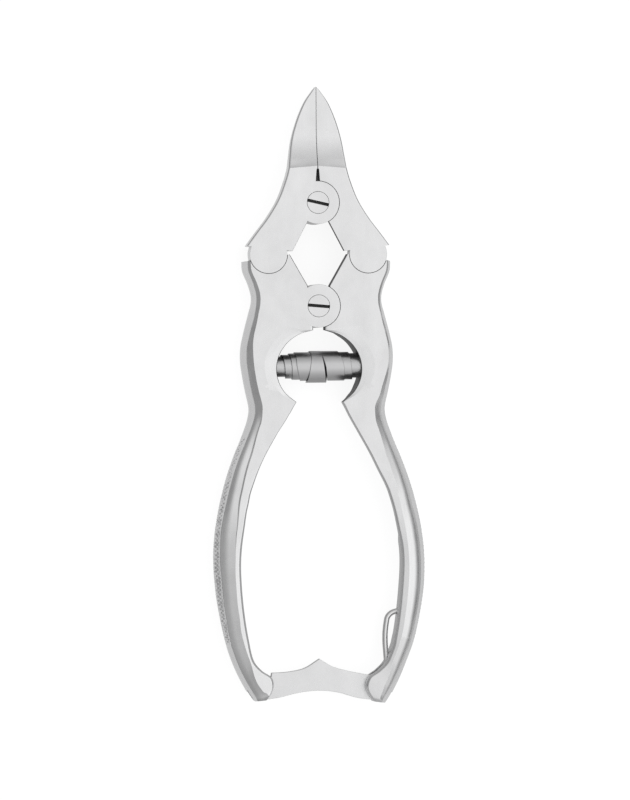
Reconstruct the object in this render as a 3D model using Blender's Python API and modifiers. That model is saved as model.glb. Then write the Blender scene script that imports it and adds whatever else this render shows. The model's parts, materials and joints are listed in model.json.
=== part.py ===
"""Double-action nail nipper, lying flat on its back and closed.

Frame: +Y runs from the grips to the cutting tips, +X is to the right, +Z is the front face
with the two screw heads. The back face rests on Z = 0. Every length is in metres.
"""

from math import atan2, cos, hypot, pi, radians, sin, sqrt

import bmesh
import bpy
from mathutils import Matrix, Vector

MM = 0.001

# Driving dimensions.
THICKNESS = 8.0 * MM
MID = THICKNESS / 2
LAP_GAP = 0.05 * MM  # each half of a lap joint stands this far off the middle plane
LAP_CLEARANCE = 0.14 * MM  # from a lap disc to the shoulder round it

JAW_PIVOT = (0.0, 43.7 * MM)
HANDLE_PIVOT = (0.0, 20.3 * MM)
LINK = (11.4 * MM, 32.0 * MM)  # right-hand one; the left-hand one is its mirror image
JAW_DISC_R = 4.86 * MM
HANDLE_DISC_R = 4.9 * MM
TAIL_DISC_R = 4.3 * MM  # jaw tail, front half
HEAD_DISC_R = 4.1 * MM  # handle head, back half
TAIL_SHOULDER_R = 4.45 * MM

SCREW_HEAD_R = 2.5 * MM
SCREW_HEAD_DEPTH = 1.7 * MM
SCREW_SHANK_R = 1.5 * MM
SCREW_CLEARANCE = 0.1 * MM
SCREW_HEAD_SINK = 0.02 * MM
SCREW_HEAD_CHAMFER = 0.15 * MM
SCREW_FOOT_CHAMFER = 0.2 * MM
SCREW_SLOT_WIDTH = 0.72 * MM
SCREW_SLOT_DEPTH = 1.1 * MM
JAW_SLOT_TURN = radians(-12.9)
HANDLE_SLOT_TURN = radians(-4.9)

LINK_PIN_R = 1.5 * MM
LOCK_PIN_R = 0.8 * MM
PIN_CLEARANCE = 0.08 * MM
LINK_PIN_TOP = 6.6 * MM
LOCK_PIN_TOP = 5.8 * MM
PIN_FOOT = 0.3 * MM

BLADE_SHOULDER_Y = 52.2 * MM
SEAM_HALF_GAP = 0.05 * MM
SLIT_TOP = (0.24 * MM, 51.2 * MM)  # open slit between the blades' roots, above the hub
SLIT_END_Y = 51.45 * MM
JAW_RIM_BEVEL = 0.5 * MM
GRIP_RIM_BEVEL = 1.3 * MM

WINDOW_Y = 6.0 * MM
WINDOW_HALF_WIDTH = 9.7 * MM
WINDOW_HALF_HEIGHT = 8.9 * MM
SPRING_Y = 6.76 * MM
SPRING_HALF_LENGTH = 10.1 * MM
SPRING_END_R = 2.3 * MM
SPRING_TURNS = 7
SPRING_STRIP = 0.2 * MM
SPRING_TURN_RISE = 0.32 * MM  # how much larger the radius is after each turn towards the middle
SPRING_END_WIDTH = 2.0 * MM
SPRING_MIDDLE_WIDTH = 2.8 * MM
SPRING_SEAT_R = 2.75 * MM
SPRING_SEAT_X = (7.7 * MM, 10.4 * MM)

LOCK_HINGE = (13.8 * MM, -66.4 * MM)
CATCH_PIN = (-14.1 * MM, -65.6 * MM)
LOCK_BAR_THICKNESS = 1.8 * MM
FORK_SLOT = 2.2 * MM
FORK_SLOT_X = 16.6 * MM  # the slot is open to the inner side and the end, closed on the outer side
LEFT_FORK_TOP_Y = -60.3 * MM
RIGHT_FORK_TOP_Y = -57.4 * MM

WIRE_R = 0.62 * MM
WIRE_HOLE_R = 0.79 * MM

CURVE_STEPS = 3
ROUND_SEGMENTS = 48
SMALL_SEGMENTS = 20
FAR = 30 * MM
SQUARE_MARGIN = 0.35 * MM  # how far the rims stay square round a jaw's discs
HEAD_MARGIN = 0.65 * MM  # the same round a handle's discs

# Half outlines, right-hand side, in millimetres. Each list runs on in one direction round the plate.
JAW_OUTER = [
    (0.05, 70.0), (1.4, 68.4), (2.7, 66.55), (4.45, 62.5), (5.72, 58.0), (6.4, 53.4),
    (7.4, 48.9), (9.1, 44.4), (11.9, 39.8), (15.5, 35.3), (16.3, 34.0),
]
HANDLE_OUTER = [
    (16.9, 30.4), (16.7, 27.9), (14.9, 23.4), (15.3, 19.2), (16.9, 12.6), (17.4, 9.5),
    (16.9, 4.6), (15.4, -3.3), (16.6, -7.8), (19.3, -14.6), (21.6, -21.4), (23.1, -28.2),
    (24.05, -37.5), (23.5, -45.0), (22.2, -52.2), (20.2, -60.0), (17.8, -65.3), (15.6, -69.2),
]
HANDLE_LOBE = [
    (14.8, -69.85), (13.8, -70.0), (12.4, -69.4), (11.3, -68.0), (10.9, -66.2), (11.1, -64.5),
    (11.9, -63.5), (13.2, -62.5), (14.4, -61.2),
]
HANDLE_INNER = [
    (15.7, -58.4), (17.0, -52.6), (17.7, -45.5), (18.0, -38.5), (17.2, -29.8), (15.7, -23.2),
    (13.4, -16.7), (10.0, -10.1), (7.4, -5.6),
]


def clear_scene():
    for obj in list(bpy.data.objects):
        bpy.data.objects.remove(obj, do_unlink=True)


def new_collection(name):
    collection = bpy.data.collections.new(name)
    bpy.context.scene.collection.children.link(collection)
    return collection


def steel(name, colour, roughness):
    material = bpy.data.materials.new(name)
    material.use_nodes = True
    shader = material.node_tree.nodes["Principled BSDF"]
    shader.inputs["Base Color"].default_value = (*colour, 1.0)
    shader.inputs["Metallic"].default_value = 1.0
    shader.inputs["Roughness"].default_value = roughness
    return material


# Flat outlines.


def through(points, steps=CURVE_STEPS):
    """Points along a smooth curve through the given points, in metres."""
    knots = [Vector((x * MM, y * MM)) for x, y in points]
    knots = [2 * knots[0] - knots[1], *knots, 2 * knots[-1] - knots[-2]]
    result = []
    for a, b, c, d in zip(knots, knots[1:], knots[2:], knots[3:]):
        before, span, after = sqrt((b - a).length), sqrt((c - b).length), sqrt((d - c).length)
        leave = ((b - a) / before - (c - a) / (before + span) + (c - b) / span) * span
        arrive = ((c - b) / span - (d - b) / (span + after) + (d - c) / after) * span
        for step in range(steps):
            t = step / steps
            point = (2 * t**3 - 3 * t**2 + 1) * b + (t**3 - 2 * t**2 + t) * leave
            point += (3 * t**2 - 2 * t**3) * c + (t**3 - t**2) * arrive
            result.append((point.x, point.y))
    result.append((knots[-2].x, knots[-2].y))
    return result


def arc(centre, radius, start, end, step=pi / 24):
    """Points on an arc, both ends included. It turns clockwise where end is less than start."""
    count = max(2, round(abs(end - start) / step))
    turns = [start + (end - start) * k / count for k in range(count + 1)]
    return [(centre[0] + radius * cos(t), centre[1] + radius * sin(t)) for t in turns]


def oval(centre, half_width, half_height, start, end):
    """Points on an upright oval, both ends included."""
    return [
        (centre[0] + half_width * x, centre[1] + half_height * y)
        for x, y in arc((0.0, 0.0), 1.0, start, end)
    ]


def direction(centre, x, y):
    return atan2(y * MM - centre[1], x * MM - centre[0])


# Corners where the outlines meet the round lap discs, millimetres, and the arcs' end angles.
TAIL_OUTER_CORNER = (15.3, 33.8)
TAIL_INNER_CORNER = (7.1, 32.5)
ARM_INNER_CORNER = (5.9, 32.75)
JAW_HUB_CORNER = (2.43, 39.4)
HEAD_INNER_CORNER = (6.56, 32.0)
JAW_HUB_END = radians(84.8) - 2 * pi
HANDLE_HUB_START = radians(-74)
HANDLE_HUB_END = radians(59.3) - 2 * pi
HEAD_START = pi
HEAD_END = radians(-3.0)
WINDOW_START = radians(-57)
WINDOW_END = radians(82)


def jaw_outline():
    """Right-hand jaw: blade, arm, round tail, the full lap disc on the jaw pivot, and the slit."""
    tail_end = direction(LINK, *TAIL_INNER_CORNER) - 2 * pi
    tail = arc(LINK, TAIL_DISC_R, direction(LINK, *TAIL_OUTER_CORNER), tail_end)
    hub = arc(JAW_PIVOT, JAW_DISC_R, direction(JAW_PIVOT, *JAW_HUB_CORNER), JAW_HUB_END)
    arm = [tuple(value * MM for value in ARM_INNER_CORNER)]
    slit = [SLIT_TOP, (SEAM_HALF_GAP, SLIT_END_Y)]
    return through(JAW_OUTER) + tail + arm + hub + slit


def handle_outline():
    """Right-hand handle: head, full lap disc on the handle pivot, spring window and grip."""
    window = oval((0.0, WINDOW_Y), WINDOW_HALF_WIDTH, WINDOW_HALF_HEIGHT, WINDOW_START, WINDOW_END)
    hub = arc(HANDLE_PIVOT, HANDLE_DISC_R, HANDLE_HUB_START, HANDLE_HUB_END)
    head = arc(LINK, HEAD_DISC_R, HEAD_START, HEAD_END)
    tip = [tuple(value * MM for value in HEAD_INNER_CORNER)]
    grip = through(HANDLE_OUTER + HANDLE_LOBE + HANDLE_INNER)
    return grip + window + hub + tip + head


LOCK_BAR_TOP = [(-12.9, -63.9), (-11.1, -62.75), (-6.65, -62.5), (-3.5, -61.8), (0.0, -59.7)]
LOCK_BAR_TOP_RIGHT = [(0.0, -59.7), (2.6, -61.3), (5.8, -62.35), (11.8, -63.6)]
LOCK_BAR_UNDER = [
    (12.3, -69.2), (8.4, -68.6), (4.2, -67.4), (0.0, -66.9), (-4.6, -67.3), (-9.5, -68.5), (-13.2, -69.1),
]
LOCK_BAR_HOOK = [(-14.7, -68.8), (-15.6, -68.0), (-15.9, -67.1), (-15.5, -66.6), (-15.1, -67.2)]
LOCK_BAR_NOTCH = [(-14.7, -68.0), (-13.5, -68.0), (-12.9, -67.2)]
LOCK_HEEL_R = 2.55 * MM


def lock_bar_outline():
    """Bar from its round heel on the hinge to the open hook under the catch pin."""
    heel = arc(LOCK_HINGE, LOCK_HEEL_R, radians(100), radians(-115))
    edges = [LOCK_BAR_UNDER, LOCK_BAR_HOOK, LOCK_BAR_NOTCH]
    lower = [point for edge in edges for point in through(edge, 2)]
    return through(LOCK_BAR_TOP, 2)[:-1] + through(LOCK_BAR_TOP_RIGHT, 2) + heel + lower


# Making solids.


class Builder:
    """Keeps the collections and makes each solid or cutter in the right one."""

    def __init__(self):
        self.parts = new_collection("nail_nipper")
        self.cutters = new_collection("cutters")

    def part(self, name, mesh, material):
        obj = bpy.data.objects.new(name, mesh)
        mesh.name = name
        mesh.materials.clear()
        mesh.materials.append(material)
        self.parts.objects.link(obj)
        return obj

    def cutter(self, name, mesh):
        obj = bpy.data.objects.new("cut_" + name, mesh)
        obj.hide_render = True
        obj.display_type = "WIRE"
        self.cutters.objects.link(obj)
        return obj

    def cut(self, obj, name, mesh):
        modifier = obj.modifiers.new(name, "BOOLEAN")
        modifier.operation = "DIFFERENCE"
        modifier.solver = "EXACT"
        modifier.object = self.cutter(f"{obj.name}_{name}", mesh)


def mesh_from_curve(curve):
    """Closed mesh of a curve object's data, with its caps welded on."""
    obj = bpy.data.objects.new("curve_to_mesh", curve)
    bpy.context.scene.collection.objects.link(obj)
    graph = bpy.context.evaluated_depsgraph_get()
    mesh = bpy.data.meshes.new_from_object(obj.evaluated_get(graph))
    bpy.data.objects.remove(obj)
    solid = bmesh.new()
    solid.from_mesh(mesh)
    bmesh.ops.remove_doubles(solid, verts=solid.verts, dist=1e-6)
    bmesh.ops.recalc_face_normals(solid, faces=solid.faces)
    solid.to_mesh(mesh)
    solid.free()
    return mesh


def plate(outline, low, high):
    """Flat outline extruded from height low to height high, each face one polygon."""
    curve = bpy.data.curves.new("outline", "CURVE")
    curve.dimensions = "2D"
    curve.fill_mode = "BOTH"
    curve.extrude = (high - low) / 2
    spline = curve.splines.new("POLY")
    spline.points.add(len(outline) - 1)
    for point, (x, y) in zip(spline.points, outline):
        point.co = (x, y, 0.0, 1.0)
    spline.use_cyclic_u = True
    mesh = mesh_from_curve(curve)
    solid = bmesh.new()
    solid.from_mesh(mesh)
    for up in (1, -1):
        caps = [face for face in solid.faces if face.normal.z * up > 0.9]
        bmesh.ops.dissolve_faces(solid, faces=caps)
    bmesh.ops.translate(solid, verts=solid.verts, vec=(0, 0, (low + high) / 2))
    solid.to_mesh(mesh)
    solid.free()
    return mesh


def bevel_rim(mesh, width, keep_square, segments=1):
    """Bevels the rims of both faces, apart from edges near a (centre, radius) to keep square."""
    solid = bmesh.new()
    solid.from_mesh(mesh)
    rims = []
    for edge in solid.edges:
        ends = [vert.co for vert in edge.verts]
        flat = abs(ends[0].z - ends[1].z) < 1e-7 and edge.calc_face_angle(0.0) > 1.0
        middle = (ends[0] + ends[1]) / 2
        square = any(hypot(middle.x - c[0], middle.y - c[1]) < r for c, r in keep_square)
        if flat and not square:
            rims.append(edge)
    bmesh.ops.bevel(
        solid, geom=rims, offset=width, offset_type="OFFSET", segments=segments, profile=0.5,
        affect="EDGES", clamp_overlap=False,
    )
    solid.to_mesh(mesh)
    solid.free()
    return mesh


def cylinder(centre, radius, low, high, segments=ROUND_SEGMENTS):
    solid = bmesh.new()
    place = Matrix.Translation((*centre, (low + high) / 2))
    bmesh.ops.create_cone(
        solid, cap_ends=True, segments=segments, radius1=radius, radius2=radius,
        depth=high - low, matrix=place,
    )
    mesh = bpy.data.meshes.new("cylinder")
    solid.to_mesh(mesh)
    solid.free()
    return mesh


def cylinder_along(start, end, radius, segments=ROUND_SEGMENTS):
    start, end = Vector(start), Vector(end)
    turn = (end - start).to_track_quat("Z", "Y").to_matrix().to_4x4()
    solid = bmesh.new()
    bmesh.ops.create_cone(
        solid, cap_ends=True, segments=segments, radius1=radius, radius2=radius,
        depth=(end - start).length, matrix=Matrix.Translation((start + end) / 2) @ turn,
    )
    mesh = bpy.data.meshes.new("cylinder")
    solid.to_mesh(mesh)
    solid.free()
    return mesh


def box(low, high, turn=0.0):
    """Box between two corners, turned about Z round its own middle."""
    low, high = Vector(low), Vector(high)
    size = [abs(high[k] - low[k]) for k in range(3)]
    solid = bmesh.new()
    place = Matrix.Translation((low + high) / 2) @ Matrix.Rotation(turn, 4, "Z")
    bmesh.ops.create_cube(solid, size=1.0, matrix=place @ Matrix.Diagonal((*size, 1.0)))
    mesh = bpy.data.meshes.new("box")
    solid.to_mesh(mesh)
    solid.free()
    return mesh


def prism(profile, axis, low, high):
    """Closed profile, counter-clockwise seen against its axis, extruded along X or Y."""
    mesh = plate(profile, low, high)
    turn = Matrix(((0, 0, 1, 0), (1, 0, 0, 0), (0, 1, 0, 0), (0, 0, 0, 1)))
    if axis == "Y":
        turn = Matrix(((0, 1, 0, 0), (0, 0, 1, 0), (1, 0, 0, 0), (0, 0, 0, 1)))
    mesh.transform(turn)
    return mesh


def mirrored(mesh):
    mesh.transform(Matrix.Diagonal((-1, 1, 1, 1)))
    mesh.flip_normals()
    return mesh


def sided(point, side):
    return (point[0] * side, point[1])


# Parts.


def screw_holes(builder, obj, pivot, has_head_seat):
    shank = cylinder(pivot, SCREW_SHANK_R + SCREW_CLEARANCE, -FAR, FAR, SMALL_SEGMENTS)
    builder.cut(obj, "screw_hole", shank)
    if has_head_seat:
        floor = THICKNESS - SCREW_HEAD_DEPTH - SCREW_CLEARANCE
        seat = cylinder(pivot, SCREW_HEAD_R + SCREW_CLEARANCE, floor, FAR, 32)
        builder.cut(obj, "screw_seat", seat)


def lap_cut(builder, obj, name, pivot, radius, from_front):
    if from_front:
        low, high = MID - LAP_GAP, FAR
    else:
        low, high = -FAR, MID + LAP_GAP
    builder.cut(obj, name, cylinder(pivot, radius, low, high))


BLADE_MIDDLE_Y = 62.0 * MM
BLADE_REACH = 11.0 * MM
BLADE_FRONT = [(52.2, 8.0), (53.3, 7.6), (55.0, 7.1), (57.5, 6.6), (60.5, 6.35), (70.5, 6.3)]
BLADE_BACK = [(50.5, 0.0), (55.0, 0.5), (62.0, 2.0), (70.5, 4.2)]
EDGE_Z = 4.9 * MM  # height of the cutting edge at the seam
EDGE_BEVEL_HALF = 2.6 * MM  # half width of the bevels on the back of the blades


def blade_front_profile():
    """Hollow-ground front of the blades, seen from the side as (Y, Z)."""
    scoop = through(BLADE_FRONT)
    return [*scoop, (FAR * 3, scoop[-1][1]), (FAR * 3, FAR), (BLADE_SHOULDER_Y, FAR)]


def blade_back_profile():
    slope = through(BLADE_BACK)
    return [*slope[::-1], (slope[0][0], -FAR), (FAR * 3, -FAR), (FAR * 3, slope[-1][1])]


def bevel_groove():
    """V under the seam that leaves each blade its cutting edge, seen along Y as (Z, X)."""
    return [(EDGE_Z, 0.0), (-MM, EDGE_BEVEL_HALF), (-MM, -EDGE_BEVEL_HALF)]


def make_jaw(builder, name, side, material):
    in_front = side < 0
    mesh = plate(jaw_outline(), 0.0, THICKNESS)
    blade = ((0.0, BLADE_MIDDLE_Y), BLADE_REACH)
    keep_square = [(JAW_PIVOT, JAW_DISC_R + SQUARE_MARGIN), (LINK, TAIL_DISC_R + SQUARE_MARGIN), blade]
    mesh = bevel_rim(mesh, JAW_RIM_BEVEL, keep_square)
    if side < 0:
        mesh = mirrored(mesh)
    jaw = builder.part(name, mesh, material)
    disc_room = JAW_DISC_R + LAP_CLEARANCE
    lap_cut(builder, jaw, "lap", JAW_PIVOT, disc_room, from_front=not in_front)
    lap_cut(builder, jaw, "tail_lap", sided(LINK, side), TAIL_SHOULDER_R, from_front=False)
    builder.cut(jaw, "blade_front", prism(blade_front_profile(), "X", -FAR, FAR))
    builder.cut(jaw, "blade_back", prism(blade_back_profile(), "X", -FAR, FAR))
    builder.cut(jaw, "edge_bevel", prism(bevel_groove(), "Y", BLADE_SHOULDER_Y, FAR * 3))
    screw_holes(builder, jaw, JAW_PIVOT, in_front)
    pin_hole = cylinder(
        sided(LINK, side), LINK_PIN_R + PIN_CLEARANCE, -FAR, LINK_PIN_TOP + PIN_CLEARANCE, SMALL_SEGMENTS
    )
    builder.cut(jaw, "pin_hole", pin_hole)
    return jaw


def make_handle(builder, name, side, material):
    in_front = side < 0
    mesh = plate(handle_outline(), 0.0, THICKNESS)
    keep_square = [(HANDLE_PIVOT, HANDLE_DISC_R + HEAD_MARGIN), (LINK, HEAD_DISC_R + HEAD_MARGIN)]
    mesh = bevel_rim(mesh, GRIP_RIM_BEVEL, keep_square, segments=2)
    if side < 0:
        mesh = mirrored(mesh)
    handle = builder.part(name, mesh, material)
    disc_room = HANDLE_DISC_R + LAP_CLEARANCE
    lap_cut(builder, handle, "lap", HANDLE_PIVOT, disc_room, from_front=not in_front)
    tail_room = TAIL_DISC_R + LAP_CLEARANCE
    lap_cut(builder, handle, "head_lap", sided(LINK, side), tail_room, from_front=True)
    screw_holes(builder, handle, HANDLE_PIVOT, in_front)
    link_hole = cylinder(sided(LINK, side), LINK_PIN_R + PIN_CLEARANCE, -FAR, MID, SMALL_SEGMENTS)
    builder.cut(handle, "pin_hole", link_hole)
    seat_ends = [(side * x, SPRING_Y, MID) for x in SPRING_SEAT_X]
    builder.cut(handle, "spring_seat", cylinder_along(*seat_ends, SPRING_SEAT_R, 24))
    top = LEFT_FORK_TOP_Y if side < 0 else RIGHT_FORK_TOP_Y
    slot_z = (MID - FORK_SLOT / 2, MID + FORK_SLOT / 2)
    slot = box((side * FORK_SLOT_X, -90 * MM, slot_z[0]), (0.0, top, slot_z[1]))
    builder.cut(handle, "fork_slot", slot)
    lock_pin = CATCH_PIN if side < 0 else LOCK_HINGE
    pin_hole = cylinder(
        lock_pin, LOCK_PIN_R + PIN_CLEARANCE, -FAR, LOCK_PIN_TOP + PIN_CLEARANCE, SMALL_SEGMENTS
    )
    builder.cut(handle, "lock_pin_hole", pin_hole)
    return handle


def make_screw(builder, name, pivot, turn, material):
    """Cheese-head screw, turned about Z, with a straight driver slot right across its head."""
    head_foot = THICKNESS - SCREW_HEAD_DEPTH
    top = THICKNESS - SCREW_HEAD_SINK
    profile = [
        (0.0, top), (SCREW_HEAD_R - SCREW_HEAD_CHAMFER, top),
        (SCREW_HEAD_R, THICKNESS - SCREW_HEAD_CHAMFER), (SCREW_HEAD_R, head_foot),
        (SCREW_SHANK_R, head_foot), (SCREW_SHANK_R, PIN_FOOT + SCREW_FOOT_CHAMFER),
        (SCREW_SHANK_R - SCREW_FOOT_CHAMFER, PIN_FOOT), (0.0, PIN_FOOT),
    ]
    mesh = bpy.data.meshes.new(name)
    mesh.from_pydata([(x, 0.0, z) for x, z in profile], [(k, k + 1) for k in range(len(profile) - 1)], [])
    screw = builder.part(name, mesh, material)
    screw.location = (*pivot, 0.0)
    spin = screw.modifiers.new("turned", "SCREW")
    spin.steps = 32
    spin.render_steps = 32
    spin.use_merge_vertices = True
    spin.merge_threshold = 0.00001
    low = (-SCREW_SLOT_WIDTH / 2 + pivot[0], pivot[1] - FAR, THICKNESS - SCREW_SLOT_DEPTH)
    high = (SCREW_SLOT_WIDTH / 2 + pivot[0], pivot[1] + FAR, FAR)
    builder.cut(screw, "slot", box(low, high, turn + pi / 2))
    return screw


def make_pin(builder, name, centre, radius, top, material):
    """Plain rivet, its foot just inside the back face."""
    mesh = cylinder(centre, radius, PIN_FOOT, top, SMALL_SEGMENTS)
    return builder.part(name, mesh, material)


def spring_centreline(turn):
    """(X, radius, strip width) of the coiled strip after a number of turns from its left end."""
    share = turn / SPRING_TURNS
    from_middle = abs(2 * share - 1)
    width = SPRING_MIDDLE_WIDTH + (SPRING_END_WIDTH - SPRING_MIDDLE_WIDTH) * from_middle**2
    reach = SPRING_HALF_LENGTH - SPRING_END_WIDTH / 2
    crowding = 0.12  # the end turns lie closer together than the middle ones
    along = reach * ((1 + crowding) * (2 * share - 1) - crowding * (2 * share - 1) ** 3)
    radius = SPRING_END_R + (1 - from_middle) * SPRING_TURNS / 2 * SPRING_TURN_RISE
    return along, radius, width


def make_spring(builder, material, steps_per_turn=18):
    """Barrel spring: one flat strip wound up to its widest turn and down again."""
    solid = bmesh.new()
    previous = None
    count = SPRING_TURNS * steps_per_turn
    for step in range(count + 1):
        turn = step / steps_per_turn
        x, radius, width = spring_centreline(turn)
        angle = 2 * pi * turn
        ring = []
        for side, lift in ((-1, 0), (1, 0), (1, 1), (-1, 1)):
            r = radius - lift * SPRING_STRIP
            place = (x + side * width / 2, SPRING_Y + r * cos(angle), MID + r * sin(angle))
            ring.append(solid.verts.new(place))
        if previous:
            for k in range(4):
                solid.faces.new((previous[k], previous[k - 1], ring[k - 1], ring[k]))
        else:
            solid.faces.new(ring)
        previous = ring
    solid.faces.new(previous[::-1])
    bmesh.ops.recalc_face_normals(solid, faces=solid.faces)
    mesh = bpy.data.meshes.new("barrel_spring")
    solid.to_mesh(mesh)
    solid.free()
    return builder.part("barrel_spring", mesh, material)


def make_lock_bar(builder, material):
    half = LOCK_BAR_THICKNESS / 2
    mesh = plate(lock_bar_outline(), MID - half, MID + half)
    bar = builder.part("lock_bar", mesh, material)
    hole = cylinder(LOCK_HINGE, LOCK_PIN_R + PIN_CLEARANCE, -FAR, FAR, SMALL_SEGMENTS)
    builder.cut(bar, "hinge_hole", hole)
    return bar


WIRE_ROUTE = [
    (19.6, -48.6), (18.1, -49.0), (16.6, -49.5), (15.7, -50.4), (15.4, -51.9), (15.2, -54.2),
    (15.15, -56.4), (15.15, -58.6), (15.1, -60.8), (14.85, -62.9),
]


def make_wire(builder, material):
    """Bowed wire from its hole in the grip, down into the fork over the lock bar's heel."""
    curve = bpy.data.curves.new("lock_spring_wire", "CURVE")
    curve.dimensions = "3D"
    curve.bevel_depth = WIRE_R
    curve.bevel_resolution = 2
    curve.use_fill_caps = True
    route = through(WIRE_ROUTE)
    spline = curve.splines.new("POLY")
    spline.points.add(len(route) - 1)
    for point, (x, y) in zip(spline.points, route):
        point.co = (x, y, MID, 1.0)
    return builder.part("lock_spring_wire", mesh_from_curve(curve), material)


def hang_on_pivots(pieces):
    """Parents each moving part to an empty on the axis that it turns about."""
    parts = {obj.name: obj for obj in bpy.data.collections["nail_nipper"].objects}
    for name, pivot, children in pieces:
        empty = bpy.data.objects.new(name, None)
        empty.location = (*pivot, 0.0)
        empty.empty_display_size = 5 * MM
        bpy.data.collections["nail_nipper"].objects.link(empty)
        for child in children:
            parts[child].parent = empty
            parts[child].matrix_parent_inverse = Matrix.Translation((-pivot[0], -pivot[1], 0.0))


def main():
    clear_scene()
    builder = Builder()
    body = steel("handle_steel", (0.72, 0.72, 0.73), 0.3)
    jaw = steel("jaw_steel", (0.74, 0.74, 0.75), 0.28)
    screw = steel("screw_steel", (0.66, 0.66, 0.67), 0.3)
    pin = steel("pin_steel", (0.62, 0.62, 0.63), 0.35)
    spring = steel("spring_steel", (0.6, 0.6, 0.61), 0.3)
    plate_steel = steel("lock_steel", (0.7, 0.7, 0.71), 0.32)

    make_jaw(builder, "left_jaw", -1, jaw)
    make_jaw(builder, "right_jaw", 1, jaw)
    make_handle(builder, "left_handle", -1, body)
    right_handle = make_handle(builder, "right_handle", 1, body)
    wire_hole = [(x * MM, y * MM, MID) for x, y in (WIRE_ROUTE[1], WIRE_ROUTE[0])]
    wire_run = Vector(wire_hole[1]) - Vector(wire_hole[0])
    wire_hole = (Vector(wire_hole[0]) - wire_run, Vector(wire_hole[1]) + wire_run * 0.2)
    builder.cut(right_handle, "wire_hole", cylinder_along(*wire_hole, WIRE_HOLE_R, 16))

    make_screw(builder, "jaw_screw", JAW_PIVOT, JAW_SLOT_TURN, screw)
    make_screw(builder, "handle_screw", HANDLE_PIVOT, HANDLE_SLOT_TURN, screw)
    make_pin(builder, "left_link_pin", sided(LINK, -1), LINK_PIN_R, LINK_PIN_TOP, pin)
    make_pin(builder, "right_link_pin", LINK, LINK_PIN_R, LINK_PIN_TOP, pin)
    make_pin(builder, "lock_catch_pin", CATCH_PIN, LOCK_PIN_R, LOCK_PIN_TOP, pin)
    make_pin(builder, "lock_hinge_pin", LOCK_HINGE, LOCK_PIN_R, LOCK_PIN_TOP, pin)
    make_spring(builder, spring)
    make_lock_bar(builder, plate_steel)
    make_wire(builder, spring)

    hang_on_pivots([
        ("left_jaw_pivot", sided(LINK, -1), ["left_jaw"]),
        ("right_jaw_pivot", LINK, ["right_jaw", "jaw_screw"]),
        ("handle_pivot", HANDLE_PIVOT,
         ["right_handle", "handle_screw", "right_link_pin", "lock_hinge_pin", "lock_spring_wire"]),
        ("lock_bar_pivot", LOCK_HINGE, ["lock_bar"]),
    ])


main()
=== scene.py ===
"""Looks of the double-action nail nipper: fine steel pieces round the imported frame, on a pale studio floor.

Axes as in the frame: +Y runs from the grips to the cutting tips, +X is to the right and +Z is the
front face with the screw heads. Outlines are given for the right-hand side, in millimetres, and
mirrored for the left. Meshes are in metres.
"""

import json
from math import ceil, cos, pi, radians, sin, sqrt

import bmesh
import bpy
import numpy as np
from mathutils import Matrix, Vector


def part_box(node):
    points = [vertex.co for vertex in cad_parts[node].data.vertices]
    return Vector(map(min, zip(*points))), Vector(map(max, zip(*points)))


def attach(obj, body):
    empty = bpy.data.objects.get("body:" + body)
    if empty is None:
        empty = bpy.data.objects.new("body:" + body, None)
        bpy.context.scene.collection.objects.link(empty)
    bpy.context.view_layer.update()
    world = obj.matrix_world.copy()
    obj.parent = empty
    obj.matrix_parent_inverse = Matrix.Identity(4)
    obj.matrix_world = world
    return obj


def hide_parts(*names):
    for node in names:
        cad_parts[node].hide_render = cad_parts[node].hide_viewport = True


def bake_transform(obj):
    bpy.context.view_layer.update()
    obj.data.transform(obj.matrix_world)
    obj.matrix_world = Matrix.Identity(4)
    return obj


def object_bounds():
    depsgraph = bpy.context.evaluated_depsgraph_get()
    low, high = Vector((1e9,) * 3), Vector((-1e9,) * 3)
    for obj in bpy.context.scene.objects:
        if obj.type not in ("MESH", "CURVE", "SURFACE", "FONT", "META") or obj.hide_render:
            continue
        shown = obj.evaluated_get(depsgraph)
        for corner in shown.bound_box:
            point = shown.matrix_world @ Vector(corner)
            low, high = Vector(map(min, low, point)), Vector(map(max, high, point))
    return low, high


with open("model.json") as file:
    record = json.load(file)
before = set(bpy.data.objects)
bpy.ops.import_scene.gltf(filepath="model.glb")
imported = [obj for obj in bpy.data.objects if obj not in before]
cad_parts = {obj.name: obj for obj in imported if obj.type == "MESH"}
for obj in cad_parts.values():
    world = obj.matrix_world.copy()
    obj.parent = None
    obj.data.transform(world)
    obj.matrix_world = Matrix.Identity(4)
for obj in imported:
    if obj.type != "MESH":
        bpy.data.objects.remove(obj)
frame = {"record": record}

CAD_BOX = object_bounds()

MM = 0.001
JOINTS = {joint["name"]: joint for joint in frame["record"]["behaviour"]["joints"]}


def joint_place(name):
    """(X, Y) of a hinge's axis, in millimetres."""
    x, y, _ = JOINTS[name]["pos_m"]
    return x / MM, y / MM


def node_middle(name):
    low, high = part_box(name)
    return tuple((low[k] + high[k]) / 2 / MM for k in range(3))


HANDLE_PIVOT = joint_place("handle_pivot")
LINK = joint_place("right_jaw_link")
LOCK_HINGE = joint_place("lock_bar_hinge")
JAW_PIVOT = node_middle("jaw_screw")[:2]
CATCH_PIN = node_middle("lock_catch_pin")[:2]
SPRING_Y = node_middle("barrel_spring")[1]

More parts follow.
